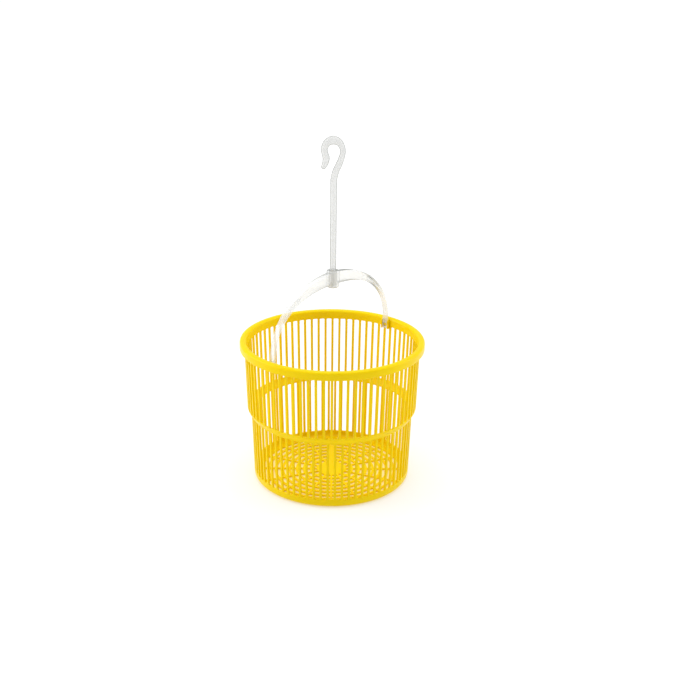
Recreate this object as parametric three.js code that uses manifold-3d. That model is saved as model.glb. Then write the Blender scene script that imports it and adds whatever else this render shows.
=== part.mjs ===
// Round peg basket: one slatted yellow moulding, a clear handle that clips inside its rim,
// and a clear hook that turns in the crown of the handle.
// Millimetres, +Z up. The origin is the centre of the flat foot. The hook's loop lies in the
// XZ plane, and the handle is turned away from it.
import * as THREE from 'three';
import { mergeVertices } from 'three/addons/utils/BufferGeometryUtils.js';
import Module from 'manifold-3d';

const wasm = await Module();
wasm.setup();

// the basket's moulding, from the rim down to the foot
const basket = {
  height: 146.6,
  wall: 2.1,
  slatCount: 72,
  slatWidth: 2.4,
  // the upper row of windows stands part of a pitch round from the lower one
  upperStagger: 0.5,
  // the rim is a rounded crest with a skirt that hangs outside the wall
  rimRadius: 91.7,
  skirtOut: 4.7,
  skirtDrop: 8.3,
  skirtWall: 1.7,
  skirtRoof: 2.6,
  crestRound: 2.3,
  rimBand: 9.3,
  // the wall narrows on its way down, most of it at the shoulder between the rows of slats
  upperTaper: 1.8,
  shoulderStep: 3.9,
  shoulderTop: 76.4,
  shoulderDrop: 7.4,
  lowerTaper: 2,
  // the base has a rounded corner, a foot ring and a floor lifted inside it
  baseBand: 8.7,
  cornerHeight: 5,
  cornerReach: 4.8,
  footWidth: 3,
  floorLift: 0.8,
  floorWall: 1.9,
  floorCorner: 3.4,
};

// the floor's openings, in rings round a plain hub, with one spoke broader than the others
const grid = {
  hubRadius: 15.2,
  edgeMargin: 0.2,
  ringCount: 8,
  ringWidth: 2.6,
  spokeCount: 16,
  spokeWidth: 2,
  broadSpokeWidth: 7.5,
  broadSpokeIndex: 4,
  facetDegrees: 11,
  innerFacetDegrees: 23,
  innerRings: 3,
};

// the seat of a handle leg inside the rim
const clip = {
  gap: 0.35,
  ribWidth: 1.2,
  ribDepth: 3,
  ribBelowBand: 2.2,
  ribBelowCrest: 1.2,
  catchWidth: 3.2,
  catchHeight: 3,
  catchDepth: 1.6,
  catchBelowCrest: 6.8,
};

// the arch, with hollow arms and a plain crown
const handle = {
  rise: 68.3,
  crownDepth: 11.8,
  width: 6,
  strip: 2.3,
  flange: 1.9,
  web: 1.8,
  plainHalf: 49,
  legDrop: 11,
  outerPower: 2.05,
  innerPower: 2.3,
  turnDegrees: 48.5,
};

// the round housing at the middle of the crown
const boss = {
  radius: 6.2,
  above: 1.6,
  below: 3.6,
  round: 2.6,
  neck: 2.4,
  roomAbove: 0.6,
  floor: 2.8,
  coreHole: 1,
};

const hook = {
  gap: 0.35,
  rodRadius: 3.1,
  headRadius: 3.9,
  headTaper: 3.2,
  tipRadius: 2.2,
  loopRadius: 8.4,
  loopHeight: 186.8,
  depthShare: 0.88,
};

const overrun = 1;
const weldDistance = 1e-4;
const degree = Math.PI / 180;

const flipped = (geometry) => {
  const turnedOver = geometry.clone();
  const index = turnedOver.index.array;
  for (let i = 0; i < index.length; i += 3) [index[i], index[i + 2]] = [index[i + 2], index[i]];
  return turnedOver;
};

// a closed solid from a geometry, with its points merged and its flat triangles left out
const toSolid = (geometry) => {
  const bare = geometry.clone();
  bare.deleteAttribute('normal');
  bare.deleteAttribute('uv');
  const merged = mergeVertices(bare, weldDistance);
  const index = merged.index.array;
  const kept = [];
  for (let i = 0; i < index.length; i += 3) {
    const [a, b, c] = [index[i], index[i + 1], index[i + 2]];
    if (a !== b && b !== c && c !== a) kept.push(a, b, c);
  }
  return new wasm.Manifold(new wasm.Mesh({
    numProp: 3,
    vertProperties: new Float32Array(merged.attributes.position.array),
    triVerts: new Uint32Array(kept),
  }));
};

// the same, for a geometry whose faces may point in
const toOutwardSolid = (geometry) => {
  const solid = toSolid(geometry);
  return solid.volume() < 0 ? toSolid(flipped(geometry)) : solid;
};

const toGeometry = (solid) => {
  const mesh = solid.getMesh();
  const count = mesh.vertProperties.length / mesh.numProp;
  const places = new Float32Array(count * 3);
  for (let i = 0; i < count; i += 1) {
    for (let k = 0; k < 3; k += 1) places[i * 3 + k] = mesh.vertProperties[i * mesh.numProp + k];
  }
  const geometry = new THREE.BufferGeometry();
  geometry.setAttribute('position', new THREE.BufferAttribute(places, 3));
  geometry.setIndex(new THREE.BufferAttribute(new Uint32Array(mesh.triVerts), 1));
  geometry.computeVertexNormals();
  return geometry;
};

const addAll = (solids) => solids.reduce((sum, one) => sum.add(one));

// a solid of revolution about Z from a closed profile of [radius, height] points
const turned = (profile, facets) => {
  const points = profile.map(([r, z]) => new THREE.Vector2(r, z));
  const geometry = new THREE.LatheGeometry(points, facets);
  geometry.rotateX(Math.PI / 2);
  return toOutwardSolid(geometry);
};

// a flat outline pushed along Z
const pushed = (outline, depth) => {
  const shape = new THREE.Shape(outline.map(([x, y]) => new THREE.Vector2(x, y)));
  return new THREE.ExtrudeGeometry(shape, { depth, bevelEnabled: false, steps: 1 });
};

// an outline of [x, z] points as a plate of that thickness, whose middle is at y
const plate = (outline, thickness, y) => {
  const geometry = pushed(outline, thickness);
  geometry.rotateX(Math.PI / 2);
  geometry.translate(0, y + thickness / 2, 0);
  return toSolid(geometry);
};

const block = (width, depth, height, x, y, z) => {
  const geometry = new THREE.BoxGeometry(width, depth, height);
  geometry.translate(x, y, z);
  return toSolid(geometry);
};

const between = (a, b, t) => a + (b - a) * t;

// points on an arc of an ellipse, at angles in degrees
const arc = (centre, radii, from, to, steps) => {
  const points = [];
  for (let i = 0; i <= steps; i += 1) {
    const angle = between(from, to, i / steps) * degree;
    points.push([centre[0] + radii[0] * Math.cos(angle), centre[1] + radii[1] * Math.sin(angle)]);
  }
  return points;
};

// outer radii of the wall, each from the one above it
const wallTopRadius = basket.rimRadius - basket.skirtOut;
const shoulderTopRadius = wallTopRadius - basket.upperTaper;
const shoulderBottomRadius = shoulderTopRadius - basket.shoulderStep;
const baseRadius = shoulderBottomRadius - basket.lowerTaper;
const footRadius = baseRadius - basket.cornerReach;

const skirtBottom = basket.height - basket.skirtDrop;
const bandBottom = basket.height - basket.rimBand;
const shoulderBottom = basket.shoulderTop - basket.shoulderDrop;
const floorTop = basket.floorLift + basket.floorWall;
const rimInner = wallTopRadius - basket.wall;
const skirtInner = basket.rimRadius - basket.skirtWall;

// outer radius of the wall at any height above the corner
const wallRadius = (z) => {
  if (z >= basket.shoulderTop) {
    const t = (z - basket.shoulderTop) / (bandBottom - basket.shoulderTop);
    return between(shoulderTopRadius, wallTopRadius, Math.min(t, 1));
  }
  if (z <= shoulderBottom) {
    const t = (z - basket.cornerHeight) / (shoulderBottom - basket.cornerHeight);
    return between(baseRadius, shoulderBottomRadius, Math.max(t, 0));
  }
  const t = (z - shoulderBottom) / basket.shoulderDrop;
  const eased = (1 - Math.cos(Math.PI * t)) / 2;
  return between(shoulderBottomRadius, shoulderTopRadius, eased);
};

// the shoulder is an S in section, followed at a few heights
const shoulderHeights = () => {
  const steps = 2;
  const heights = [];
  for (let i = 0; i <= steps; i += 1) {
    heights.push(between(shoulderBottom, basket.shoulderTop, i / steps));
  }
  return heights;
};

const basketProfile = () => {
  const { height, wall, crestRound, cornerHeight, cornerReach, floorLift, floorCorner } = basket;
  const heights = shoulderHeights();
  const footInner = footRadius - basket.footWidth;
  const cornerInner = wallRadius(cornerHeight) - wall;
  const roof = height - basket.skirtRoof;
  const crestFoot = height - crestRound;
  const round = [crestRound, crestRound];
  return [
    [0, floorLift],
    [footInner, floorLift],
    [footInner, 0],
    ...arc([footRadius, cornerHeight], [cornerReach, cornerHeight], -90, 0, 2),
    ...heights.map((z) => [wallRadius(z), z]),
    [wallTopRadius, bandBottom],
    [wallTopRadius, roof],
    [skirtInner, roof],
    [skirtInner, skirtBottom],
    [basket.rimRadius, skirtBottom],
    ...arc([basket.rimRadius - crestRound, crestFoot], round, 0, 90, 2),
    ...arc([rimInner + crestRound, crestFoot], round, 90, 180, 2),
    [rimInner, bandBottom],
    ...heights.reverse().map((z) => [wallRadius(z) - wall, z]),
    [cornerInner, floorTop + floorCorner],
    [cornerInner - floorCorner, floorTop],
    [0, floorTop],
    [0, floorLift],
  ];
};

// one window of a row: its sides stay parallel to the slats, so it narrows as the wall does
const windowCutter = (low, high, turn) => {
  const half = (z) => (
    (Math.PI * (wallRadius(z) - basket.wall / 2)) / basket.slatCount - basket.slatWidth / 2
  );
  const outline = [[-half(low), low], [half(low), low], [half(high), high], [-half(high), high]];
  const inner = wallRadius(low) - basket.wall - overrun;
  const geometry = pushed(outline, wallRadius(high) - inner + overrun);
  geometry.rotateX(Math.PI / 2);
  geometry.rotateZ(Math.PI / 2);
  geometry.translate(inner, 0, 0);
  geometry.rotateZ(turn);
  return toSolid(geometry);
};

const windowRow = (low, high, stagger) => {
  const cutters = [];
  for (let i = 0; i < basket.slatCount; i += 1) {
    const turn = ((i + stagger) / basket.slatCount) * Math.PI * 2;
    cutters.push(windowCutter(low, high, turn));
  }
  return addAll(cutters);
};

// one opening of the floor: a piece of a ring between two spokes
const floorOpening = (inner, outer, spoke, facetDegrees) => {
  const step = 360 / grid.spokeCount;
  const widthOf = (k) => (
    k % grid.spokeCount === grid.broadSpokeIndex ? grid.broadSpokeWidth : grid.spokeWidth
  );
  const halfAngle = (r, k) => Math.asin(Math.min(widthOf(k) / 2 / r, 1)) / degree;
  const edge = (r) => {
    const from = spoke * step + halfAngle(r, spoke);
    const to = (spoke + 1) * step - halfAngle(r, spoke + 1);
    return arc([0, 0], [r, r], from, to, Math.max(1, Math.round((to - from) / facetDegrees)));
  };
  const geometry = pushed([...edge(outer), ...edge(inner).reverse()], floorTop + overrun * 2);
  geometry.translate(0, 0, -overrun);
  return toSolid(geometry);
};

const floorOpenings = () => {
  const edgeRadius = footRadius - basket.footWidth - grid.edgeMargin;
  const pitch = (edgeRadius - grid.hubRadius + grid.ringWidth) / grid.ringCount;
  const cutters = [];
  for (let ring = 0; ring < grid.ringCount; ring += 1) {
    const inner = grid.hubRadius + ring * pitch;
    const facetDegrees = ring < grid.innerRings ? grid.innerFacetDegrees : grid.facetDegrees;
    for (let spoke = 0; spoke < grid.spokeCount; spoke += 1) {
      cutters.push(floorOpening(inner, inner + pitch - grid.ringWidth, spoke, facetDegrees));
    }
  }
  return addAll(cutters);
};

// the seat of one leg: two guide ribs beside it, and a catch that stands in its window
const ribOffset = handle.width / 2 + clip.gap + clip.ribWidth / 2;
const catchMiddle = basket.height - clip.catchBelowCrest;
const seatRoot = rimInner + basket.wall / 2;

const guideRib = (side) => {
  const low = bandBottom - clip.ribBelowBand;
  const high = basket.height - clip.ribBelowCrest;
  const face = rimInner - clip.ribDepth;
  const outline = [
    [seatRoot, low],
    [face, low],
    [face, high - clip.ribDepth / 2],
    [face + clip.ribDepth / 2, high],
    [seatRoot, high],
  ];
  return plate(outline, clip.ribWidth, side * ribOffset);
};

const catchLug = () => {
  const low = catchMiddle - clip.catchHeight / 2;
  const high = catchMiddle + clip.catchHeight / 2;
  const face = rimInner - clip.catchDepth;
  const outline = [
    [seatRoot, low],
    [face, low],
    [face, catchMiddle],
    [rimInner - clip.catchDepth / 4, high],
    [seatRoot, high],
  ];
  return plate(outline, clip.catchWidth, 0);
};

// the skirt's groove is filled behind each seat
const seatBacking = () => {
  const low = skirtBottom + basket.skirtWall / 2;
  const high = basket.height - basket.skirtRoof / 2;
  const inner = wallTopRadius - basket.wall / 2;
  const outer = basket.rimRadius - basket.skirtWall / 2;
  const width = ribOffset * 2 + clip.ribWidth;
  return block(outer - inner, width, high - low, (inner + outer) / 2, 0, (low + high) / 2);
};

const makeBasket = () => {
  const seat = addAll([guideRib(1), guideRib(-1), catchLug(), seatBacking()])
    .rotate([0, 0, handle.turnDegrees]);
  return turned(basketProfile(), basket.slatCount)
    .subtract(windowRow(basket.baseBand, shoulderBottom, 0))
    .subtract(windowRow(basket.shoulderTop, bandBottom, basket.upperStagger))
    .subtract(floorOpenings())
    .add(seat)
    .add(seat.rotate([0, 0, 180]));
};

const legOuter = rimInner - clip.gap;
const legInner = legOuter - handle.strip;
const innerRise = handle.rise - handle.crownDepth;

// half of a squared ellipse that stands on the rim, from the right leg over to the left one
const arch = (span, rise, power) => {
  const steps = 40;
  const points = [];
  for (let i = 0; i <= steps; i += 1) {
    const angle = (Math.PI * i) / steps;
    const [c, s] = [Math.cos(angle), Math.sin(angle)];
    const x = span * Math.sign(c) * Math.abs(c) ** (2 / power);
    points.push([x, basket.height + rise * Math.abs(s) ** (2 / power)]);
  }
  return points;
};

const archHeight = (x, span, rise, power) => (
  basket.height + rise * Math.max(0, 1 - (x / span) ** power) ** (1 / power)
);

const archPlate = () => {
  const foot = basket.height - handle.legDrop;
  const outline = [
    [legOuter, foot],
    ...arch(legOuter, handle.rise, handle.outerPower),
    [-legOuter, foot],
    [-legInner, foot],
    ...arch(legInner, innerRise, handle.innerPower).reverse(),
    [legInner, foot],
  ];
  return plate(outline, handle.width, 0);
};

// the hollow between the flanges of one arm, on one face of its web, down to where they meet
const armHollow = (side, face) => {
  const { flange, plainHalf, outerPower, innerPower } = handle;
  const upper = [legOuter - flange, handle.rise - flange, outerPower];
  const lower = [legInner + flange, innerRise + flange, innerPower];
  const reach = (points) => points.filter(([x]) => x > plainHalf);
  const open = ([x, z]) => z - archHeight(x, ...lower) > flange / 4 && x < lower[0];
  const top = reach(arch(...upper)).filter(open);
  const bottom = reach(arch(...lower)).filter(([x]) => x < top[0][0]);
  const outline = [
    ...top,
    [plainHalf, archHeight(plainHalf, ...upper)],
    [plainHalf, archHeight(plainHalf, ...lower)],
    ...bottom.reverse(),
  ];
  const depth = (handle.width - handle.web) / 2 + overrun;
  const y = face * (handle.web + depth) / 2;
  return plate(outline.map(([x, z]) => [side * x, z]), depth, y);
};

const bossTop = basket.height + handle.rise + boss.above;
const bossBottom = basket.height + innerRise - boss.below;
const headTop = bossTop - boss.neck - boss.roomAbove;
const headBottom = bossBottom + boss.floor;

const bossBody = () => turned([
  [0, bossBottom],
  ...arc([boss.radius - boss.round, bossBottom + boss.round], [boss.round, boss.round], -90, 0, 3),
  [boss.radius, bossTop],
  [0, bossTop],
], 24);

// the room for the hook's head, the neck over it and the small core hole under it
const bossRoom = () => {
  const room = hook.headRadius + hook.gap;
  const neck = hook.rodRadius + hook.gap;
  const roomBottom = headBottom - hook.gap;
  const roomTop = bossTop - boss.neck;
  return turned([
    [0, bossBottom - overrun],
    [boss.coreHole, bossBottom - overrun],
    [boss.coreHole, roomBottom],
    [room, roomBottom],
    [room, roomTop],
    [neck, roomTop],
    [neck, bossTop + overrun],
    [0, bossTop + overrun],
    [0, bossBottom - overrun],
  ], 24);
};

const legWindow = (side) => {
  const width = clip.catchWidth + clip.gap * 2;
  const height = clip.catchHeight + clip.gap * 2;
  const x = side * (legInner + handle.strip / 2);
  return block(handle.strip + overrun * 2, width, height, x, 0, catchMiddle);
};

const makeHandle = () => {
  let solid = archPlate().add(bossBody());
  for (const side of [1, -1]) {
    for (const face of [1, -1]) solid = solid.subtract(armHollow(side, face));
    solid = solid.subtract(legWindow(side));
  }
  return solid.subtract(bossRoom());
};

// centre line of the bent end, as shares of the loop's radius: across from the rod's axis,
// and up from the loop's centre
const bendShares = [
  [0, -3.4], [0.21, -2.51], [0.55, -1.73], [0.86, -0.94], [1, -0.17], [0.64, 0.7], [-0.06, 1],
  [-0.76, 0.7], [-1.06, 0.02], [-0.98, -0.51], [-0.85, -0.99], [-0.94, -1.52], [-1.155, -2],
];
// half thickness at those points, as shares of the rod's radius
const bendWidthShares = [1, 1, 0.97, 0.88, 0.82, 1.02, 1.28, 1.12, 1, 1.02, 1.05, 0.95, 0.72];

const hookHead = () => turned([
  [0, headBottom],
  [hook.tipRadius, headBottom],
  [hook.headRadius, headBottom + hook.headTaper],
  [hook.headRadius, headTop],
  [0, headTop],
], 20);

// places along the rod and its bend, each with the half thickness there
const hookStations = () => {
  const perSpan = 4;
  const spans = bendShares.length - 1;
  const centre = basket.height + hook.loopHeight;
  const places = bendShares.map(([x, z]) => new THREE.Vector3(
    x * hook.loopRadius, 0, centre + z * hook.loopRadius,
  ));
  const curve = new THREE.CatmullRomCurve3(places, false, 'centripetal');
  const rodFoot = new THREE.Vector3(0, 0, headTop - hook.headTaper / 2);
  const stations = [{ at: rodFoot, half: hook.rodRadius }];
  for (let i = 0; i <= spans * perSpan; i += 1) {
    const k = Math.min(Math.floor(i / perSpan), spans - 1);
    const share = between(bendWidthShares[k], bendWidthShares[k + 1], i / perSpan - k);
    stations.push({ at: curve.getPoint(i / (spans * perSpan)), half: share * hook.rodRadius });
  }
  return stations;
};

// rings of points round the centre line, joined side by side and closed at both ends
const sweptRod = (stations, sides) => {
  const count = stations.length;
  const places = [];
  const along = (i) => {
    if (i === 1) return new THREE.Vector3(0, 0, 1);
    const [before, after] = [stations[Math.max(i - 1, 0)], stations[Math.min(i + 1, count - 1)]];
    return after.at.clone().sub(before.at).normalize();
  };
  stations.forEach(({ at, half }, i) => {
    const { x: run, z: climb } = along(i);
    const depth = hook.rodRadius * (i <= 1 ? 1 : hook.depthShare);
    for (let k = 0; k < sides; k += 1) {
      const angle = (k / sides) * Math.PI * 2;
      const c = Math.cos(angle) * half;
      places.push(at.x + climb * c, Math.sin(angle) * depth, at.z - run * c);
    }
  });
  const first = stations[0].at;
  const last = stations[count - 1];
  const tip = last.at.clone().addScaledVector(along(count - 1), last.half / 2);
  places.push(first.x, 0, first.z, tip.x, 0, tip.z);
  const index = [];
  const foot = count * sides;
  for (let k = 0; k < sides; k += 1) {
    const next = (k + 1) % sides;
    for (let i = 0; i + 1 < count; i += 1) {
      const [a, b] = [i * sides + k, i * sides + next];
      index.push(a, b, a + sides, b, b + sides, a + sides);
    }
    index.push(foot, next, k, foot + 1, foot - sides + k, foot - sides + next);
  }
  const geometry = new THREE.BufferGeometry();
  geometry.setAttribute('position', new THREE.BufferAttribute(new Float32Array(places), 3));
  geometry.setIndex(index);
  return toOutwardSolid(geometry);
};

const makeHook = () => hookHead().add(sweptRod(hookStations(), 10));

const yellowPlastic = () => new THREE.MeshStandardMaterial({
  name: 'yellow polypropylene', color: 0xf2c40c, roughness: 0.4, metalness: 0,
});

const clearPlastic = () => new THREE.MeshStandardMaterial({
  name: 'clear plastic', color: 0xe9ebe8, roughness: 0.12, metalness: 0, transparent: true,
  opacity: 0.45,
});

const named = (name, solid, material) => {
  const mesh = new THREE.Mesh(toGeometry(solid), material);
  mesh.name = name;
  return mesh;
};

const acrossTheRim = new THREE.Group();
acrossTheRim.rotation.z = handle.turnDegrees * degree;
acrossTheRim.add(named('handle', makeHandle(), clearPlastic()));

const part = new THREE.Group();
part.add(named('basket', makeBasket(), yellowPlastic()));
part.add(acrossTheRim);
part.add(named('hook', makeHook(), clearPlastic()));

export default part;
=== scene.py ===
import bmesh
import bpy
import numpy as np
from mathutils import Matrix, Vector


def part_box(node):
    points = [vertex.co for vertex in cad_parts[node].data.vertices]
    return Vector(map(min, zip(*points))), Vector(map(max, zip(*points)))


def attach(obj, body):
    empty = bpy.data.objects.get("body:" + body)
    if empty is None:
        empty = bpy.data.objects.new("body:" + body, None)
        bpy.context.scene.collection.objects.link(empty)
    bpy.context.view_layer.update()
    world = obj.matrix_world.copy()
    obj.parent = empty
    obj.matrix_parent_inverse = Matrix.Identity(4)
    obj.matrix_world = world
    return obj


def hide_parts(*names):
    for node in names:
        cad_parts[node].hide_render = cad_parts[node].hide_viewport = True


# A round hanging basket on a white floor: a slatted yellow moulding, a clear clip-in arch and a
# clear swivel hook. Shapes are worked out in millimetres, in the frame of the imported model.

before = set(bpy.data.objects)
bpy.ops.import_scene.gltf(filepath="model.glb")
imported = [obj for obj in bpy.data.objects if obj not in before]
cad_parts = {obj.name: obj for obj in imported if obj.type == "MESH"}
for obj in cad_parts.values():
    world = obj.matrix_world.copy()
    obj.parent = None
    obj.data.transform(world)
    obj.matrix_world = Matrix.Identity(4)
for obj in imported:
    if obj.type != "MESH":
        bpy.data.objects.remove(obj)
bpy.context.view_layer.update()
mm = 0.001
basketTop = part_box("basket")[1].z / mm
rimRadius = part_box("basket")[1].x / mm
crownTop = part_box("handle")[1].z / mm
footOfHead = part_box("hook")[0].z / mm
print("frame loaded")


def addObject(name, data):
    # an object at the origin, unturned, in the scene's own collection
    thing = bpy.data.objects.new(name, data)
    bpy.context.scene.collection.objects.link(thing)
    return thing


# camera, matched to the photograph's 700 x 700 frame

cameraView = {
    "focalPixels": 1050, "framePixels": 700, "sensor": 36,
    "distance": 1068.3, "elevation": 23.96, "aimHeight": 74.6, "roll": 0.4,
    "shiftRight": -17.69, "shiftUp": 54.65,  # pixels between the frame's middle and the aim
    "nearAndFar": (0.01, 100),  # metres
}


def addCamera(c):
    # the camera looks at a point on the basket's axis, then turns by the two shifts and rolls:
    # each turn mixes two of its axes by the cosine and sine of the angle
    elevation = np.radians(c["elevation"])
    yaw = np.arctan2(c["shiftRight"], c["focalPixels"])
    pitch = np.arctan2(c["shiftUp"], c["focalPixels"])
    roll = np.radians(c["roll"])
    right = np.array([1.0, 0, 0])
    ahead = np.array([0, np.cos(elevation), -np.sin(elevation)])
    up = np.array([0, np.sin(elevation), np.cos(elevation)])
    place = np.array([0, 0, c["aimHeight"]]) - ahead * c["distance"]
    right, ahead = (
        right * np.cos(yaw) + ahead * np.sin(yaw),
        ahead * np.cos(yaw) - right * np.sin(yaw),
    )
    up, ahead = (
        up * np.cos(pitch) - ahead * np.sin(pitch),
        ahead * np.cos(pitch) + up * np.sin(pitch),
    )
    right, up = (
        right * np.cos(roll) + up * np.sin(roll),
        up * np.cos(roll) - right * np.sin(roll),
    )
    data = bpy.data.cameras.new("camera")
    data.sensor_width = c["sensor"]
    data.lens = c["focalPixels"] / c["framePixels"] * c["sensor"]
    data.clip_start, data.clip_end = c["nearAndFar"]
    camera = addObject("camera", data)
    matrix = Matrix.Identity(4)
    for column, axis in enumerate((right, up, -ahead, place * mm)):
        for row in range(3):
            matrix[row][column] = axis[row]
    camera.matrix_world = matrix
    bpy.context.scene.camera = camera


addCamera(cameraView)
print("camera set")


# meshes from arrays

weldDistance = 1e-7  # metres


def gridFaces(rows, columns):
    # quads between neighbouring rows of a grid whose last column joins its first
    here = np.arange(rows * columns).reshape(rows, columns)
    beside = np.roll(here, -1, axis=1)
    return np.stack([here[:-1], beside[:-1], beside[1:], here[1:]], axis=-1).reshape(-1, 4)


def fanFaces(ring, pole):
    # triangles from each side of a closed ring of point numbers to one pole
    return np.stack([ring, np.roll(ring, -1), np.full(len(ring), pole)], axis=-1)


def zipFaces(outer, inner):
    # triangles that join a closed ring to one with fewer points, both starting at one angle:
    # each side of the outer ring goes to its nearest inner point, and each change of inner
    # point closes a triangle back to the outer ring
    share = len(inner) / len(outer)
    nearest = np.floor((np.arange(len(outer)) + 0.5) * share + 0.5).astype(int) % len(inner)
    sides = np.stack([outer, np.roll(outer, -1), inner[nearest]], axis=-1)
    before = np.roll(nearest, 1)
    turns = before != nearest
    steps = np.stack([inner[before], outer, inner[nearest]], axis=-1)[turns]
    return np.vstack([sides, steps])


def meshFrom(name, blocks):
    # blocks are (points in mm, list of face arrays); points within the weld distance become
    # one, faces that close up are left out, and every shell is turned outwards
    points = np.vstack([p.reshape(-1, 3) for p, _ in blocks]) * mm
    _, first, place = np.unique(
        np.round(points / weldDistance).astype(np.int64),
        axis=0, return_index=True, return_inverse=True,
    )
    place = place.reshape(-1)
    faces, start = [], 0
    for p, arrays in blocks:
        for array in arrays:
            faces += place[array + start].tolist()
        start += p.reshape(-1, 3).shape[0]
    faces = [list(dict.fromkeys(f)) for f in faces]
    faces = [f for f in faces if len(f) > 2]
    mesh = bpy.data.meshes.new(name)
    mesh.from_pydata(points[first].tolist(), [], faces)
    work = bmesh.new()
    work.from_mesh(mesh)
    bmesh.ops.recalc_face_normals(work, faces=work.faces)
    work.to_mesh(mesh)
    work.free()
    return mesh


def combine(base, tools):
    # joins or cuts closed meshes in turn, and leaves one plain mesh on the base
    for operation, tool in tools:
        change = base.modifiers.new("combine", "BOOLEAN")
        change.operation = operation
        change.solver = "MANIFOLD"
        change.object = tool
    graph = bpy.context.evaluated_depsgraph_get()
    done = bpy.data.meshes.new_from_object(base.evaluated_get(graph))
    base.modifiers.clear()
    base.data = done
    for _, tool in tools:
        bpy.data.objects.remove(tool)


def finishPiece(piece, body, node, material, sharpDegrees):
    # edges that turn by more than the angle stay sharp and the rest is shaded smooth; the piece
    # then rides on its body and stands for its node
    mesh = piece.data
    mesh.materials.clear()
    mesh.materials.append(material)
    mesh.shade_smooth()
    mesh.set_sharp_from_angle(angle=np.radians(sharpDegrees))
    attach(piece, body)
    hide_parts(node)
    mesh.calc_loop_triangles()
    print(piece.name, "has", len(mesh.loop_triangles), "triangles")


def lathe(profile, angles):
    # a profile of radius and height carried round Z: x = r cos a, y = r sin a
    radius, height = np.array(profile, float).T
    x = radius[:, None] * np.cos(angles)
    y = radius[:, None] * np.sin(angles)
    z = np.repeat(height[:, None], len(angles), axis=1)
    return np.stack([x, y, z], axis=-1)


def turnedAboutZ(points, degrees):
    # x cos a - y sin a, x sin a + y cos a, and z as it is
    x, y, z = np.moveaxis(points, -1, 0)
    cosine, sine = np.cos(np.radians(degrees)), np.sin(np.radians(degrees))
    return np.stack([x * cosine - y * sine, x * sine + y * cosine, z], axis=-1)


def arcPoints(centre, radii, fromDegrees, toDegrees, steps):
    # points of an ellipse's arc: centre + (a cos t, b sin t)
    t = np.radians(np.linspace(fromDegrees, toDegrees, steps + 1))
    return [(centre[0] + radii[0] * c, centre[1] + radii[1] * s)
            for c, s in zip(np.cos(t), np.sin(t))]


def lathedSolid(name, profile, firstShare, columns=64):
    # a closed turned solid, whose profile starts and ends on the axis; its first column stands
    # at a share of a step, so that a cut's corners don't lie on the sides of what it cuts
    angles = (np.arange(columns) + firstShare) * 2 * np.pi / columns
    mesh = meshFrom(name, [(lathe(profile, angles), [gridFaces(len(profile), columns)])])
    return addObject(name, mesh)


def plateSolid(name, outline, thickness, middle, turnDegrees, bevel):
    # an outline of radius and height as a plate on its edge, half the thickness to each side
    # of its middle plane, turned about Z, with soft edges
    outline = np.array(outline, float)
    count = len(outline)
    sides = [np.insert(outline, 1, middle + side * thickness / 2, axis=1) for side in (1, -1)]
    points = turnedAboutZ(np.vstack(sides), turnDegrees)
    ring = np.arange(count)
    faces = [gridFaces(2, count), ring[None], (ring + count)[None]]
    mesh = meshFrom(name, [(points, faces)])
    work = bmesh.new()
    work.from_mesh(mesh)
    bmesh.ops.bevel(work, geom=work.edges[:], offset=bevel * mm, segments=2, affect="EDGES",
                    clamp_overlap=True, profile=0.5)
    work.to_mesh(mesh)
    work.free()
    return addObject(name, mesh)


# nodes and colours


def toLinear(hexColour):
    # sRGB hex to linear values: ((c + 0.055) / 1.055) ^ 2.4, or c / 12.92 in the dark
    channels = [int(hexColour[i:i + 2], 16) / 255 for i in (1, 3, 5)]
    return [((c + 0.055) / 1.055) ** 2.4 if c > 0.04045 else c / 12.92 for c in channels] + [1.0]


def addNode(tree, kind, settings, links=()):
    # settings are values of inputs, by name or number, or of properties by name; links are
    # (input, output) pairs
    node = tree.nodes.new(kind)
    for name, value in settings.items():
        if isinstance(name, int) or name in node.inputs:
            node.inputs[name].default_value = value
        else:
            setattr(node, name, value)
    for name, output in links:
        tree.links.new(output, node.inputs[name])
    return node


def newMaterial(name):
    material = bpy.data.materials.new(name)
    material.use_nodes = True
    material.node_tree.nodes.clear()
    return material, material.node_tree


yellowFinish = {
    "colour": "#F4D600", "deep": "#F0CD00",
    "roughness": 0.32, "roughnessSwing": 0.05, "ior": 1.49, "shine": 0.11,
    "patchMm": 30, "patchFrom": 0.3, "patchTo": 0.7,
    # the real grain is near 0.2 mm across, and is drawn coarser so that it shows
    "grainMm": 0.9, "grainDepthMm": 0.02, "grainStrength": 0.35,
    "glow": 0.12, "glowMm": 1.2, "glowTint": (1.0, 0.7, 0.02),
}


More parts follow.
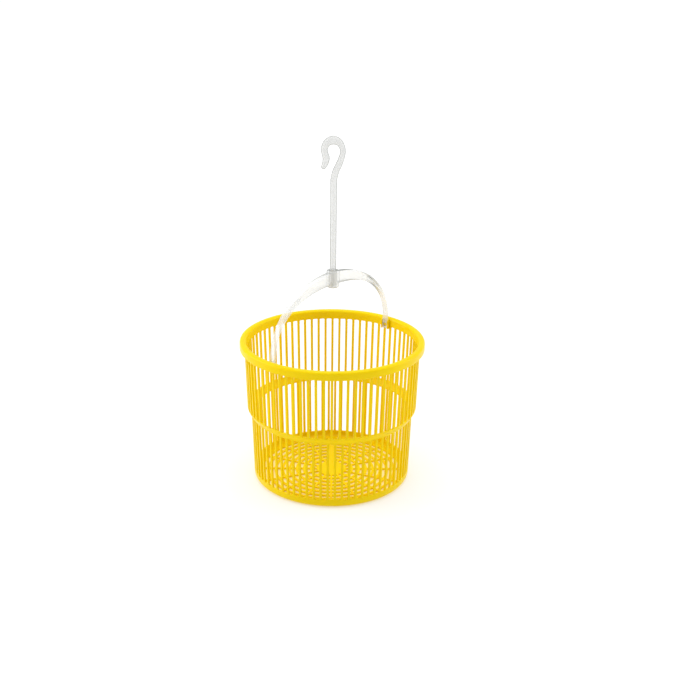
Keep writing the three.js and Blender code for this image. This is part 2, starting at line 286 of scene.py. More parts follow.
def yellowPolypropylene(f):
    # Yellow polypropylene, injection moulded in a spark-finished tool: semi-gloss, with a very
    # fine grain, a slight drift in tone along the flow and a little light carried in the thin bars.
    # roughness = middle - swing to middle + swing, as the drift goes from its low to its high
    material, tree = newMaterial("moulded polypropylene, yellow")
    place = addNode(tree, "ShaderNodeTexCoord", {}).outputs["Object"]
    drift = addNode(tree, "ShaderNodeTexNoise", {"Scale": 1 / (f["patchMm"] * mm), "Detail": 2.0},
                    [("Vector", place)])
    tone = addNode(tree, "ShaderNodeMix", {
        "data_type": "RGBA", 6: toLinear(f["deep"]), 7: toLinear(f["colour"]),
    }, [(0, drift.outputs["Fac"])])
    grain = addNode(tree, "ShaderNodeTexNoise", {"Scale": 1 / (f["grainMm"] * mm), "Detail": 3.0},
                    [("Vector", place)])
    bump = addNode(tree, "ShaderNodeBump", {
        "Strength": f["grainStrength"], "Distance": f["grainDepthMm"] * mm,
    }, [("Height", grain.outputs["Fac"])])
    gloss = addNode(tree, "ShaderNodeMapRange", {
        "From Min": f["patchFrom"], "From Max": f["patchTo"],
        "To Min": f["roughness"] - f["roughnessSwing"],
        "To Max": f["roughness"] + f["roughnessSwing"],
    }, [("Value", drift.outputs["Fac"])])
    shader = addNode(tree, "ShaderNodeBsdfPrincipled", {
        "IOR": f["ior"], "Specular IOR Level": f["shine"], "Subsurface Weight": f["glow"],
        "Subsurface Radius": f["glowTint"], "Subsurface Scale": f["glowMm"] * mm,
    }, [("Base Color", tone.outputs[2]), ("Roughness", gloss.outputs["Result"]),
        ("Normal", bump.outputs["Normal"])])
    addNode(tree, "ShaderNodeOutputMaterial", {}, [("Surface", shader.outputs["BSDF"])])
    return material


clearFinish = {
    # the edge colour is painted shade: a grey where faces turn away, for the darker surroundings
    # seen through the edges
    "pale": "#F4F5F3", "line": "#6F746E", "roughness": 0.08, "ior": 1.5, "shine": 0.2,
    "lineFrom": 0.5, "lineTo": 0.82,  # how far a face turns away, from 0 to 1
    "body": 0.42, "waveMm": 16, "waveDepthMm": 0.02, "waveStrength": 0.5,
}
rodFinish = {**clearFinish, "pale": "#DEDFDC", "body": 0.4, "lineFrom": 0.3, "lineTo": 0.7}


def clearStyrene(f):
    # Clear polystyrene, injection moulded in a polished tool: glossy, pale and half seen through
    # where a face looks at the eye, with painted shade in grey lines where it turns away, standing
    # in for the darker surroundings seen through its edges, and a soft wave.
    # alpha = body + (1 - body) * turn, with turn rising from 0 to 1 over the painted edge shade's
    # range
    material, tree = newMaterial("moulded polystyrene, clear")
    place = addNode(tree, "ShaderNodeTexCoord", {}).outputs["Object"]
    wave = addNode(tree, "ShaderNodeTexNoise", {"Scale": 1 / (f["waveMm"] * mm), "Detail": 1.0},
                   [("Vector", place)])
    bump = addNode(tree, "ShaderNodeBump", {
        "Strength": f["waveStrength"], "Distance": f["waveDepthMm"] * mm,
    }, [("Height", wave.outputs["Fac"])])
    facing = addNode(tree, "ShaderNodeLayerWeight", {"Blend": 0.5}).outputs["Facing"]
    turn = addNode(tree, "ShaderNodeMapRange", {
        "From Min": f["lineFrom"], "From Max": f["lineTo"],
    }, [("Value", facing)]).outputs["Result"]
    # painted edge shade: the pale body turns grey as the face turns from the eye
    tone = addNode(tree, "ShaderNodeMix", {
        "data_type": "RGBA", 6: toLinear(f["pale"]), 7: toLinear(f["line"]),
    }, [(0, turn)])
    alpha = addNode(tree, "ShaderNodeMapRange", {"To Min": f["body"]}, [("Value", turn)])
    shader = addNode(tree, "ShaderNodeBsdfPrincipled", {
        "Roughness": f["roughness"], "IOR": f["ior"], "Specular IOR Level": f["shine"],
    }, [("Base Color", tone.outputs[2]), ("Alpha", alpha.outputs["Result"]),
        ("Normal", bump.outputs["Normal"])])
    addNode(tree, "ShaderNodeOutputMaterial", {}, [("Surface", shader.outputs["BSDF"])])
    return material


yellow = yellowPolypropylene(yellowFinish)
clear = clearStyrene(clearFinish)
clearRod = clearStyrene(rodFinish)
print("materials made")


# basket: a wall with two rows of windows, a rolled rim, a shoulder, a foot and a floor grid

basket = {
    "height": basketTop, "rimRadius": rimRadius, "wall": 2.1, "edge": 0.35,
    "slatCount": 72, "slatWidth": 2.4, "upperStagger": 0.5,  # of the step between two slats
    "windowCorner": 0.8, "margin": 0.8,
    # the rounded crest, and the skirt that hangs from it outside the wall
    "rimBand": 9.3, "crestRound": 2.6,
    "skirtOut": 4.7, "skirtDrop": 8.3, "skirtWall": 1.7, "skirtRoof": 2.6,
    # the wall's narrowing in each row of slats and at the shoulder between them
    "upperTaper": 1.8, "shoulderStep": 3.9, "shoulderTop": 76.4, "shoulderDrop": 7.4,
    "lowerTaper": 2,
    "baseBand": 8.7, "cornerHeight": 5, "cornerReach": 4.8, "footWidth": 3,
    # the floor: a hub, rings and spokes, of which one is broad
    "floorLift": 0.8, "floorWall": 1.9, "floorCorner": 3.4, "edgeMargin": 0.6,
    "hubRadius": 15.2, "ringCount": 8, "ringWidth": 2.6,
    "spokeCount": 16, "spokeWidth": 2, "broadSpokeWidth": 7.5, "broadSpoke": 4,
    "floorEdge": 0.3, "floorCornerRound": 0.7,
    # the handle's seats: two guide ribs and a catch at each leg
    "clipTurn": 48.5, "clipGap": 0.35, "legWidth": 6, "seatEdge": 0.2,
    "ribWidth": 1.2, "ribDepth": 3, "ribBelowBand": 2.2, "ribBelowCrest": 1.2,
    "catchWidth": 3.2, "catchHeight": 3, "catchDepth": 1.6, "catchLip": 0.4,
    "catchBelowCrest": 6.8,
    # steps of the curved stretches, and columns of points round the basket
    "rimSteps": 8, "shoulderRows": 9, "cornerSteps": 10, "floorCornerSteps": 6,
    "columnsPerSlat": 4, "columnsPerSpoke": 6, "sharpDegrees": 40,
}
wallTop = basket["rimRadius"] - basket["skirtOut"]
shoulderTopRadius = wallTop - basket["upperTaper"]
shoulderBottomRadius = shoulderTopRadius - basket["shoulderStep"]
baseRadius = shoulderBottomRadius - basket["lowerTaper"]
footRadius = baseRadius - basket["cornerReach"]
footInner = footRadius - basket["footWidth"]
shoulderBottom = basket["shoulderTop"] - basket["shoulderDrop"]
bandBottom = basket["height"] - basket["rimBand"]
rimInner = wallTop - basket["wall"]
floorTop = basket["floorLift"] + basket["floorWall"]


def wallRadius(z):
    # the wall's outer radius: straight in each row of slats, and half a cosine between them
    z = np.asarray(z, float)
    upper = (z - basket["shoulderTop"]) / (bandBottom - basket["shoulderTop"])
    lower = (z - basket["cornerHeight"]) / (shoulderBottom - basket["cornerHeight"])
    rise = np.clip((z - shoulderBottom) / basket["shoulderDrop"], 0, 1)
    eased = (1 - np.cos(np.pi * rise)) / 2
    return (baseRadius + basket["lowerTaper"] * np.clip(lower, 0, 1)
            + basket["shoulderStep"] * eased + basket["upperTaper"] * np.clip(upper, 0, 1))


def windowPath(acrossMiddles, alongMiddles):
    # once round a window with four rounded corners, from the middle of its lower left corner:
    # e is -1 to 1 across, t is 0 to 1 along, and the angle is that of the corner's arc
    across = np.linspace(-1, 1, acrossMiddles + 2)[1:-1]
    along = np.linspace(0, 1, alongMiddles + 2)[1:-1]
    path = []
    for corner, (e, t) in enumerate([(-1, 0), (1, 0), (1, 1), (-1, 1)]):
        path += [(e, t, 180 + 90 * corner + step) for step in (0, 45, 90)]
        middles = across if corner % 2 == 0 else along
        outward = 270 + 90 * corner
        for m in (middles if corner < 2 else middles[::-1]):
            path.append((m, t, outward) if corner % 2 == 0 else (e, m, outward))
    path = path[1:] + path[:1]
    e, t, angle = np.array(path, float).T
    return e, t, np.radians(angle)


def cellPath(acrossMiddles, alongMiddles, low, high, corner, margin):
    # the cell's edge, point for point beside the window's path: evenly spaced across, and
    # level with the window's points along its sides
    across = np.linspace(-1, 1, acrossMiddles + 4)
    straight = np.linspace(low + corner, high - corner, alongMiddles + 2)
    side = np.concatenate([[low - margin], straight, [high + margin]])
    upright = np.ones(len(side) - 1)
    level = np.ones(len(across) - 1)
    e = np.concatenate([across[:-1], upright, across[::-1][:-1], -upright])
    along = np.concatenate([level * side[0], side[:-1], level * side[-1], side[::-1][:-1]])
    return e, along


def windowShell(halfCell, bars, middles, low, high, corner, margin, edge, wall):
    # the skin of one cell from its outer edge over the window's bevelled lip, through the wall
    # and back out over the inner lip; gives each point's shift across, place along and depth.
    # halfCell is half the cell's width at a place along; a window reaches that far less half a
    # bar to each side. Its outline grows by the bevel where the depth is 0 or the whole wall
    e, t, angle = windowPath(*middles)
    cellE, cellAlong = cellPath(*middles, low, high, corner, margin)
    reach = corner + np.array([edge, 0, 0, edge])[:, None]
    along = low + corner + t * (high - low - 2 * corner) + reach * np.sin(angle)
    left, right = (halfCell(along) - bar / 2 for bar in bars)
    across = (right - left) / 2 + e * ((right + left) / 2 - corner) + reach * np.cos(angle)
    rim = np.broadcast_to(cellE * halfCell(cellAlong), (len(across), 1, len(e)))
    across = np.concatenate([rim, across, rim], axis=1)
    along = np.vstack([cellAlong, along, cellAlong])
    depth = np.array([0, 0, edge, wall - edge, wall, wall])[:, None]
    return across, along, depth


def repeatedShell(points):
    # the faces of each copy of a shell, as (copies, rings, points round, 3)
    copies, rings, count, _ = points.shape
    faces = gridFaces(rings, count)
    starts = np.arange(copies)[:, None, None] * rings * count
    return points, [(faces + starts).reshape(-1, 4)]


def wallWindows(low, high, stagger):
    # one row: the sector's skin turned to each window, with bars of even width between windows;
    # the turn is the shift across over the radius at the wall's middle
    def middleRadius(z):
        return wallRadius(z) - basket["wall"] / 2

    def halfCell(z):
        return np.pi / basket["slatCount"] * middleRadius(z)

    bar = np.full((1, 1, 1), basket["slatWidth"])
    across, along, depth = windowShell(
        halfCell, (bar, bar), (1, 0), low, high,
        basket["windowCorner"], basket["margin"], basket["edge"], basket["wall"],
    )
    steps = np.arange(basket["slatCount"])[:, None, None] + stagger
    turn = across / middleRadius(along) + steps * 2 * np.pi / basket["slatCount"]
    radius = wallRadius(along) - depth
    height = np.broadcast_to(along, turn.shape)
    return repeatedShell(np.stack([radius * np.cos(turn), radius * np.sin(turn), height], axis=-1))


def floorWindows(inner, outer):
    # one ring of the floor: openings between the spokes, narrower beside the broad one; the
    # turn is the shift across over the radius
    def halfCell(radius):
        return np.pi / basket["spokeCount"] * radius

    widths = np.full(basket["spokeCount"] + 1, float(basket["spokeWidth"]))
    widths[basket["broadSpoke"]] = basket["broadSpokeWidth"]
    bars = (widths[:-1, None, None], widths[1:, None, None])
    across, radius, depth = windowShell(
        halfCell, bars, (3, 0), inner, outer,
        basket["floorCornerRound"], basket["ringWidth"] / 2, basket["floorEdge"],
        basket["floorWall"],
    )
    steps = np.arange(basket["spokeCount"])[:, None, None] + 0.5
    turn = across / radius + steps * 2 * np.pi / basket["spokeCount"]
    height = np.broadcast_to(floorTop - depth, turn.shape)
    return repeatedShell(np.stack([radius * np.cos(turn), radius * np.sin(turn), height], axis=-1))


def wallBands(angles):
    # the plain bands above, between and below the windows, each a profile carried round Z
    margin, edge, wall = basket["margin"], basket["edge"], basket["wall"]
    steps, crestArc = basket["rimSteps"], (basket["crestRound"],) * 2
    crest = basket["height"] - basket["crestRound"]
    skirtInner = basket["rimRadius"] - basket["skirtWall"]
    skirtLow = basket["height"] - basket["skirtDrop"]
    roof, topBand = basket["height"] - basket["skirtRoof"], bandBottom + margin
    lip = basket["skirtWall"] / 2
    rim = [
        (wallTop, topBand), (wallTop, roof - edge), (wallTop + edge, roof),
        (skirtInner - edge, roof), (skirtInner, roof - edge),
        *arcPoints((skirtInner + lip, skirtLow + lip), (lip, lip), 180, 360, steps),
        *arcPoints((basket["rimRadius"] - basket["crestRound"], crest), crestArc, 0, 90, steps),
        *arcPoints((rimInner + basket["crestRound"], crest), crestArc, 90, 180, steps),
        (rimInner, topBand),
    ]
    shoulderEnds = basket["shoulderTop"] - margin, shoulderBottom + margin
    heights = np.linspace(*shoulderEnds, basket["shoulderRows"])
    shoulder = np.stack([wallRadius(heights), heights], axis=-1)
    lowBand = basket["baseBand"] - margin
    base = [
        (wallRadius(lowBand), lowBand),
        *arcPoints((footRadius, basket["cornerHeight"]),
                   (basket["cornerReach"], basket["cornerHeight"]), 0, -90, basket["cornerSteps"]),
        (footInner + edge, 0), (footInner, edge), (footInner, basket["floorLift"]),
    ]
    inside = [
        (wallRadius(lowBand) - wall, lowBand),
        *arcPoints((floorPlateRadius(), floorTop + basket["floorCorner"]),
                   (basket["floorCorner"],) * 2, 0, -90, basket["floorCornerSteps"]),
    ]
    profiles = (rim, shoulder, shoulder - [wall, 0], base, inside)
    return [(lathe(p, angles), [gridFaces(len(p), len(angles))]) for p in profiles]


def floorPlateRadius():
    # how far the floor's upper face reaches before its rounded corner
    return wallRadius(basket["cornerHeight"]) - basket["wall"] - basket["floorCorner"]


def floorBlocks(angles):
    # the rings of openings, then on each side of the floor a flat ring outside them, zipped
    # from the basket's columns to the grid's, and the hub as a fan
    gridOuter = footInner - basket["edgeMargin"]
    pitch = (gridOuter - basket["hubRadius"] + basket["ringWidth"]) / basket["ringCount"]
    blocks = []
    for ring in range(basket["ringCount"]):
        inner = basket["hubRadius"] + ring * pitch
        blocks.append(floorWindows(inner, inner + pitch - basket["ringWidth"]))
    gridColumns = basket["spokeCount"] * basket["columnsPerSpoke"]
    gridAngles = np.arange(gridColumns) * 2 * np.pi / gridColumns
    gridEdge = gridOuter + basket["ringWidth"] / 2
    hubEdge = basket["hubRadius"] - basket["ringWidth"] / 2
    for outerRadius, z in ((footInner, basket["floorLift"]), (floorPlateRadius(), floorTop)):
        outerRing = lathe([(outerRadius, z)], angles)[0]
        innerRing = lathe([(gridEdge, z)], gridAngles)[0]
        numbers = np.arange(len(angles)), len(angles) + np.arange(gridColumns)
        blocks.append((np.vstack([outerRing, innerRing]), [zipFaces(*numbers)]))
        hub = np.vstack([lathe([(hubEdge, z)], gridAngles)[0], [[0, 0, z]]])
        blocks.append((hub, [fanFaces(np.arange(gridColumns), gridColumns)]))
    return blocks


def basketBlocks():
    # both rows of windows, the bands round them and the floor, on the same columns
    columns = basket["slatCount"] * basket["columnsPerSlat"]
    angles = np.arange(columns) * 2 * np.pi / columns
    windows = [wallWindows(basket["baseBand"], shoulderBottom, 0),
               wallWindows(basket["shoulderTop"], bandBottom, basket["upperStagger"])]
    return windows + wallBands(angles) + floorBlocks(angles)


def basketSeats():
    # at each leg: two guide ribs, a catch between them, and the skirt's groove filled behind
    root = rimInner + basket["wall"] / 2
    face, high = rimInner - basket["ribDepth"], basket["height"] - basket["ribBelowCrest"]
    low, slope = bandBottom - basket["ribBelowBand"], basket["ribDepth"] / 2
    rib = [(root, low), (face, low), (face, high - slope), (face + slope, high), (root, high)]
    middle = basket["height"] - basket["catchBelowCrest"]
    low, top = middle - basket["catchHeight"] / 2, middle + basket["catchHeight"] / 2
    lugFace = rimInner - basket["catchDepth"]
    lug = [(root, low), (lugFace, low), (lugFace, middle),
           (rimInner - basket["catchLip"], top), (root, top)]
    offset = basket["legWidth"] / 2 + basket["clipGap"] + basket["ribWidth"] / 2
    backLow = basket["height"] - basket["skirtDrop"] + basket["skirtWall"] / 2
    backTop = basket["height"] - basket["skirtRoof"] / 2
    backIn = wallTop - basket["wall"] / 2
    backOut = basket["rimRadius"] - basket["skirtWall"] / 2
    back = [(backIn, backLow), (backOut, backLow), (backOut, backTop), (backIn, backTop)]
    plates = [(rib, basket["ribWidth"], offset), (rib, basket["ribWidth"], -offset),
              (lug, basket["catchWidth"], 0), (back, 2 * offset + basket["ribWidth"], 0)]
    return [
        ("UNION", plateSolid("seat", outline, width, place, turn, basket["seatEdge"]))
        for turn in (basket["clipTurn"], basket["clipTurn"] + 180)
        for outline, width, place in plates
    ]


basketPiece = addObject("basketMoulding", meshFrom("basketMoulding", basketBlocks()))
combine(basketPiece, basketSeats())
finishPiece(basketPiece, "basket", "basket", yellow, basket["sharpDegrees"])


# handle: a flat arch with hollow arms and a boss at its crown

handle = {
    "width": basket["legWidth"], "turn": basket["clipTurn"], "strip": 2.3,
    "archBelowBoss": 1.6, "crownDepth": 11.8,
    "flange": 1.9, "web": 1.8, "plainHalf": 49, "legDrop": 11, "edge": 0.45,
    "outerPower": 2.05, "innerPower": 2.3,
    # between flange and web: the slope of the hollow's side, and how its depth fades
    "draft": 0.2, "leastDraft": 0.01, "draftSpare": 0.05, "fadeDepth": 0.7,
    "flangeSpare": 0.12, "edgeSpare": 0.1, "stepRun": 0.25,
    # sections: levels above the foot, rows of each arm and half crown
    "legLevels": (3, 8), "armRows": 49, "armSpacing": 1.15, "crownRows": 33, "sharpDegrees": 35,
    # the boss, with its room for the hook's head and the neck above it
    "bossRadius": 6.2, "bossTop": crownTop, "bossBelow": 3.6, "bossRound": 2.6, "bossEdge": 0.5,
    "bossRoundSteps": 8, "bossEdgeSteps": 3,
    "neck": 2.4, "neckRadius": 3.45, "neckBevel": 0.4, "room": 4.25, "bossFloor": 2.45,
    "coreHole": 1, "cutClear": 0.01, "cutOverrun": 1,
    # the window in each leg
    "windowWidth": 3.9, "windowHeight": 3.7, "windowOverrun": 2, "windowEdge": 0.4,
}
legOuter = rimInner - basket["clipGap"]
legInner = legOuter - handle["strip"]
outerRise = handle["bossTop"] - handle["archBelowBoss"] - basket["height"]
innerRise = outerRise - handle["crownDepth"]


def squaredArc(angle, span, rise, power):
    # a squared ellipse over the rim: x = a cos^(2/p), z = height + b sin^(2/p)
    return np.stack([span * np.cos(angle) ** (2 / power),
                     basket["height"] + rise * np.sin(angle) ** (2 / power)], axis=-1)


def archStations():
    # outer and inner edge of the arch at each section, from the right foot to the left one, and
    # 1 where its sides are hollow: a straight leg, then an arm by angle, then the plain crown
    # by x, where z = height + rise * (1 - (x / span)^p)^(1/p)
    foot = basket["height"] - handle["legDrop"]
    levels = foot + np.array([0, handle["edge"], *handle["legLevels"]])
    spacing = np.linspace(0, 1, handle["armRows"]) ** handle["armSpacing"]
    x = np.linspace(handle["plainHalf"] - handle["stepRun"], 0, handle["crownRows"])
    edges = []
    for span, rise, power in ((legOuter, outerRise, handle["outerPower"]),
                              (legInner, innerRise, handle["innerPower"])):
        leg = np.stack([np.full(len(levels), span), levels], axis=-1)
        last = np.arccos((handle["plainHalf"] / span) ** (power / 2))
        arm = squaredArc(spacing * last, span, rise, power)
        z = basket["height"] + rise * (1 - (x / span) ** power) ** (1 / power)
        half = np.vstack([leg, arm, np.stack([x, z], axis=-1)])
        edges.append(np.vstack([half, (half * [-1, 1])[:-1][::-1]]))
    hollow = np.concatenate([np.ones(len(leg) + len(arm)), np.zeros(len(x))])
    return *edges, np.concatenate([hollow, hollow[:-1][::-1]])


def archSolid():
    # a section carried along the arch: two flanges with rounded edges and a thin web between
    # them, whose hollows fade out where the flanges meet and stop short at the plain crown
    outer, inner, hollow = archStations()
    across = outer - inner
    deep = np.linalg.norm(across, axis=1)
    across /= deep[:, None]
    half = handle["width"] / 2
    flange = np.minimum(handle["flange"], deep / 2 - handle["flangeSpare"])
    edge = np.minimum(handle["edge"], flange - handle["edgeSpare"])
    fade = np.clip((deep / 2 - handle["flange"]) / handle["fadeDepth"], 0, 1)
    dip = hollow * (half - handle["web"] / 2) * fade
    spare = np.maximum(deep / 2 - flange - handle["draftSpare"], handle["leastDraft"])
    slope = np.minimum(handle["draft"], spare)
    arc = np.radians([0, 30, 60, 90])
    upper = [(deep - edge + edge * np.cos(a), half - edge + edge * np.sin(a)) for a in arc]
    upper += [(deep - flange, half), (deep - flange - slope, half - dip),
              (flange + slope, half - dip), (flange, half)]
    upper += [(edge - edge * np.sin(a), half - edge + edge * np.cos(a)) for a in arc]
    section = upper + [(along, -side) for along, side in upper[::-1]]
    along, side = (
        np.stack([np.broadcast_to(point[k], deep.shape) for point in section], axis=1)
        for k in (0, 1)
    )
    for end in (0, -1):  # the feet end in a small bevel
        along[end] = handle["edge"] + along[end] * (deep[end] - 2 * handle["edge"]) / deep[end]
        side[end] *= (half - handle["edge"]) / half
    place = inner[:, None] + across[:, None] * along[..., None]
    points = turnedAboutZ(np.stack([place[..., 0], side, place[..., 1]], axis=-1), handle["turn"])
    rows, count = side.shape
    ring = np.arange(count)
    faces = [gridFaces(rows, count), ring[None], (ring + (rows - 1) * count)[None]]
    return addObject("handleMoulding", meshFrom("handleMoulding", [(points, faces)]))


def bossTools():
    # the boss is joined on, then its room and the two leg windows are cut
    low, top = basket["height"] + innerRise - handle["bossBelow"], handle["bossTop"]
    rounding, edge = handle["bossRound"], handle["bossEdge"]
    body = [
        (0, low),
        *arcPoints((handle["bossRadius"] - rounding, low + rounding), (rounding, rounding),
                   -90, 0, handle["bossRoundSteps"]),
        *arcPoints((handle["bossRadius"] - edge, top - edge), (edge, edge),
                   0, 90, handle["bossEdgeSteps"]),
        (0, top),
    ]
    roomLow, roomTop = low + handle["bossFloor"], top - handle["neck"]
    neckTop, over = handle["neckRadius"] + handle["neckBevel"], handle["cutOverrun"]
    room = [
        (0, low - over), (handle["coreHole"], low - over), (handle["coreHole"], roomLow),
        (handle["room"], roomLow), (handle["room"], roomTop), (handle["neckRadius"], roomTop),
        (handle["neckRadius"], top - handle["neckBevel"]), (neckTop, top + handle["cutClear"]),
        (neckTop, top + over), (0, top + over),
    ]
    tools = [("UNION", lathedSolid("bossBody", body, 0)),
             ("DIFFERENCE", lathedSolid("bossRoom", room, 0.5))]
    middle = basket["height"] - basket["catchBelowCrest"]
    low, high = middle - handle["windowHeight"] / 2, middle + handle["windowHeight"] / 2
    near, far = legInner - handle["windowOverrun"], legOuter + handle["windowOverrun"]
    outline = [(near, low), (far, low), (far, high), (near, high)]
    for turn in (handle["turn"], handle["turn"] + 180):
        window = plateSolid("legWindow", outline, handle["windowWidth"], 0, turn,
                            handle["windowEdge"])
        tools.append(("DIFFERENCE", window))
    return tools


handlePiece = archSolid()
combine(handlePiece, bossTools())
finishPiece(handlePiece, "basket", "handle", clear, handle["sharpDegrees"])


# hook: a tapered head, a straight rod and a bent end, as one run of round sections

hook = {
    "headFoot": footOfHead, "headBelowCrown": 3, "headRadius": 3.9, "headTaper": 3.2,
    "tipRadius": 2.2, "edge": 0.35, "rodRadius": 3.1, "rodStart": 2, "rodRows": 12,
    "loopRadius": 8.4, "loopHeight": 186.8, "rowsPerSpan": 10, "sides": 28,
    "sharpDegrees": 50,
    # out of its plane the bend is this share as thick as the rod, reached over so many rows,
    # and it thins again over its last rows
    "depthShare": 0.88, "flattenRows": 12, "endShare": 0.85, "endRows": 10,
    "endLength": 0.8,  # of its half thickness
    "endDegrees": (25, 50, 72),
    # centre line of the bend as shares of the loop's radius, with half thicknesses as shares
    # of the rod's radius
    "bendShares": [
        (0, -3.4, 1), (0.21, -2.51, 1), (0.55, -1.73, 0.97), (0.86, -0.94, 0.88),
        (1, -0.17, 0.82), (0.64, 0.7, 1.02), (-0.06, 1, 1.28), (-0.76, 0.7, 1.12),
        (-1.06, 0.02, 1), (-0.98, -0.51, 1.02), (-0.85, -0.99, 1.05), (-0.94, -1.52, 0.95),
        (-1.155, -2, 0.72),
    ],
}


def bendCurve(shares, perSpan):
    # a centripetal Catmull-Rom curve: each span is a cubic whose end slopes come from the
    # neighbours, weighted by the square roots of the distances between the points
    p = np.array(shares, float)
    p = np.vstack([2 * p[0] - p[1], p, 2 * p[-1] - p[-2]])
    gap = np.sqrt(np.linalg.norm(np.diff(p[:, :2], axis=0), axis=1))[:, None]
    before, here, after = gap[:-2], gap[1:-1], gap[2:]
    p0, p1, p2, p3 = p[:-3], p[1:-2], p[2:-1], p[3:]
    out = ((p1 - p0) / before - (p2 - p0) / (before + here) + (p2 - p1) / here) * here
    into = ((p2 - p1) / here - (p3 - p1) / (here + after) + (p3 - p2) / after) * here
    t = np.linspace(0, 1, perSpan, endpoint=False)[None, :, None]
    p1, p2, out, into = (v[:, None] for v in (p1, p2, out, into))
    spans = ((2 * t**3 - 3 * t**2 + 1) * p1 + (t**3 - 2 * t**2 + t) * out
             + (3 * t**2 - 2 * t**3) * p2 + (t**3 - t**2) * into)
    return np.vstack([spans.reshape(-1, 3), p[-2]])


def bendRun():
    # the bend's centre line in millimetres, with its half thickness in the plane of the bend
    bend = bendCurve(hook["bendShares"], hook["rowsPerSpan"])
    bend[:, :2] *= hook["loopRadius"]
    bend[:, 1] += basket["height"] + hook["loopHeight"]
    bend[:, 2] *= hook["rodRadius"]
    return bend


def straightRun(rodEnd):
    # the head and the rod below the bend, as rows of x, z and radius
    foot, top, edge = hook["headFoot"], crownTop - hook["headBelowCrown"], hook["edge"]
    tip, head, rod = hook["tipRadius"], hook["headRadius"], hook["rodRadius"]
    rows = [(foot, tip - edge), (foot + edge, tip), (foot + hook["headTaper"], head),
            (top - edge, head), (top, head - edge), (top, rod)]
    rows += [(z, rod) for z in np.linspace(top + hook["rodStart"], rodEnd, hook["rodRows"])[:-1]]
    heights, radii = np.array(rows).T
    return np.stack([0 * heights, heights, radii], axis=-1)


def hookSolid():
    # rings of an ellipse across the run: half thickness in the plane of the bend, and its depth
    # out of it, which eases from the rod's radius to a share of it; the end closes over half
    # an ellipse: half thickness * cos a at length * sin a
    bend = bendRun()
    straight = straightRun(bend[0, 1])
    slopes = np.gradient(bend[:, :2], axis=0)
    slopes[0] = (0, 1)
    tail, last = slopes[-1] / np.linalg.norm(slopes[-1]), bend[-1]
    reach = tail * last[2] * hook["endLength"]
    close = np.radians(hook["endDegrees"])
    end = np.array([[*(last[:2] + reach * np.sin(a)), last[2] * np.cos(a)] for a in close])
    run = np.vstack([straight, bend, end])
    upward = np.tile([0, 1.0], (len(straight), 1))
    slopes = np.vstack([upward, slopes, np.tile(tail, (len(end), 1))])
    slopes /= np.linalg.norm(slopes, axis=1)[:, None]
    fade = np.clip(np.arange(len(bend)) / hook["flattenRows"], 0, 1)
    bendDepth = hook["rodRadius"] * (1 - (1 - hook["depthShare"]) * fade)
    bendDepth[-hook["endRows"]:] *= np.linspace(1, hook["endShare"], hook["endRows"])
    endDepth = hook["rodRadius"] * hook["depthShare"] * hook["endShare"] * np.cos(close)
    depth = np.concatenate([straight[:, 2], bendDepth, endDepth])
    angle = np.arange(hook["sides"]) * 2 * np.pi / hook["sides"]
    x = run[:, 0:1] + slopes[:, 1:2] * run[:, 2:3] * np.cos(angle)
    z = run[:, 1:2] - slopes[:, 0:1] * run[:, 2:3] * np.cos(angle)
    y = depth[:, None] * np.sin(angle)
    endX, endZ = last[:2] + reach
    poles = [[0, 0, hook["headFoot"]], [endX, 0, endZ]]
    points = np.vstack([np.stack([x, y, z], axis=-1).reshape(-1, 3), poles])
    count, rows = hook["sides"], len(run)
    ring = np.arange(count)
    faces = [gridFaces(rows, count), fanFaces(ring, rows * count),
             fanFaces(ring + (rows - 1) * count, rows * count + 1)]
    return addObject("hookMoulding", meshFrom("hookMoulding", [(points, faces)]))


hookPiece = hookSolid()
finishPiece(hookPiece, "hook", "hook", clearRod, hook["sharpDegrees"])


# floor, world and lights: a white sweep with soft light from the sides and above

studio = {
    "floorSize": 60, "floorColour": "#C4C4C4", "floorRoughness": 0.9, "floorShine": 0.1,
    "glowFromMm": 150, "glowToMm": 1500, "glowNear": 0.45, "glowFar": 0.74,
    # painted yellow light under the basket, out to the foot
    "paintedLightColour": "#FFEFA8", "underFromMm": 71, "underToMm": 80,
    "sky": 0.54, "aim": (0, 0, 0.12),
    "lights": [
        # name, place, size and power
        ("above", (0, 0.15, 1.7), 1.4, 15.5),
        ("left", (-1.5, 0.1, 0.75), 1.1, 12.5),
        ("right", (1.5, 0.2, 0.75), 1.1, 8.5),
    ],
}


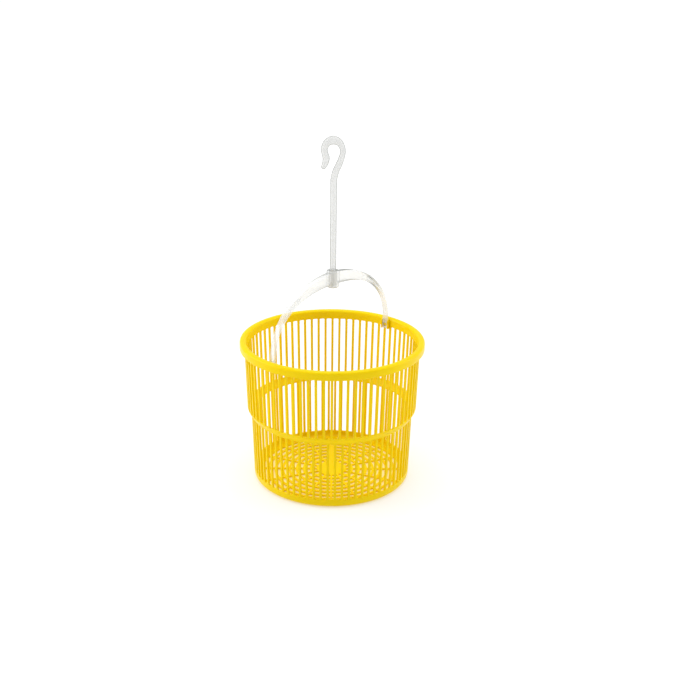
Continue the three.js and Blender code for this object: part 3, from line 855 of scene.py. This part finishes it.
def addFloor(f):
    # a flat board round the basket, by distance d from its axis: the glow eases from near to
    # far, which keeps a soft shadow by the foot and the rest white, and a painted yellow light
    # under the basket, in the board's colour and its glow, stands in for light that comes through
    # the yellow plastic and gives way to white at the foot
    size = f["floorSize"] / 2
    corners = [(-size, -size, 0), (size, -size, 0), (size, size, 0), (-size, size, 0)]
    mesh = bpy.data.meshes.new("floor")
    mesh.from_pydata(corners, [], [(0, 1, 2, 3)])
    floor = addObject("floor", mesh)
    material, tree = newMaterial("matt white board")
    place = addNode(tree, "ShaderNodeTexCoord", {}).outputs["Object"]
    distance = addNode(tree, "ShaderNodeVectorMath", {"operation": "LENGTH"}, [(0, place)])
    glow = addNode(tree, "ShaderNodeMapRange", {
        "From Min": f["glowFromMm"] * mm, "From Max": f["glowToMm"] * mm, "To Min": f["glowNear"],
        "To Max": f["glowFar"], "interpolation_type": "SMOOTHSTEP",
    }, [("Value", distance.outputs["Value"])])
    beyond = addNode(tree, "ShaderNodeMapRange", {
        "From Min": f["underFromMm"] * mm, "From Max": f["underToMm"] * mm,
    }, [("Value", distance.outputs["Value"])])
    # painted light: a pale yellow in the floor's colour and glow under the basket
    paintedLight = addNode(tree, "ShaderNodeMix", {
        "data_type": "RGBA", 6: toLinear(f["paintedLightColour"]), 7: toLinear("#FFFFFF"),
    }, [(0, beyond.outputs["Result"])]).outputs[2]
    base = addNode(tree, "ShaderNodeMix", {
        "data_type": "RGBA", "blend_type": "MULTIPLY", 0: 1.0, 7: toLinear(f["floorColour"]),
    }, [(6, paintedLight)])
    shader = addNode(tree, "ShaderNodeBsdfPrincipled", {
        "Roughness": f["floorRoughness"], "Specular IOR Level": f["floorShine"],
    }, [("Base Color", base.outputs[2]), ("Emission Color", paintedLight),
        ("Emission Strength", glow.outputs["Result"])])
    addNode(tree, "ShaderNodeOutputMaterial", {}, [("Surface", shader.outputs["BSDF"])])
    mesh.materials.append(material)


def addLight(name, place, size, power, aim):
    # a square of light that faces the aim
    data = bpy.data.lights.new(name, "AREA")
    data.size, data.energy = size, power
    light = addObject(name, data)
    light.location = place
    light.rotation_mode = "QUATERNION"
    light.rotation_quaternion = (Vector(aim) - Vector(place)).to_track_quat("-Z", "Y")


def addWorld(f):
    # white where the camera looks past everything, and a dimmer white that lights the pieces
    world = bpy.data.worlds.new("studio")
    bpy.context.scene.world = world
    world.use_nodes = True
    tree = world.node_tree
    tree.nodes.clear()
    seen = addNode(tree, "ShaderNodeLightPath", {}).outputs["Is Camera Ray"]
    strength = addNode(tree, "ShaderNodeMapRange", {"To Min": f["sky"], "To Max": 1.0},
                       [("Value", seen)])
    ground = addNode(tree, "ShaderNodeBackground", {"Color": (1, 1, 1, 1)},
                     [("Strength", strength.outputs["Result"])])
    addNode(tree, "ShaderNodeOutputWorld", {}, [("Surface", ground.outputs["Background"])])


addFloor(studio)
for light in studio["lights"]:
    addLight(*light, studio["aim"])
addWorld(studio)
look = bpy.context.scene.view_settings
look.view_transform = "Standard"
look.look = "None"
print("studio set")
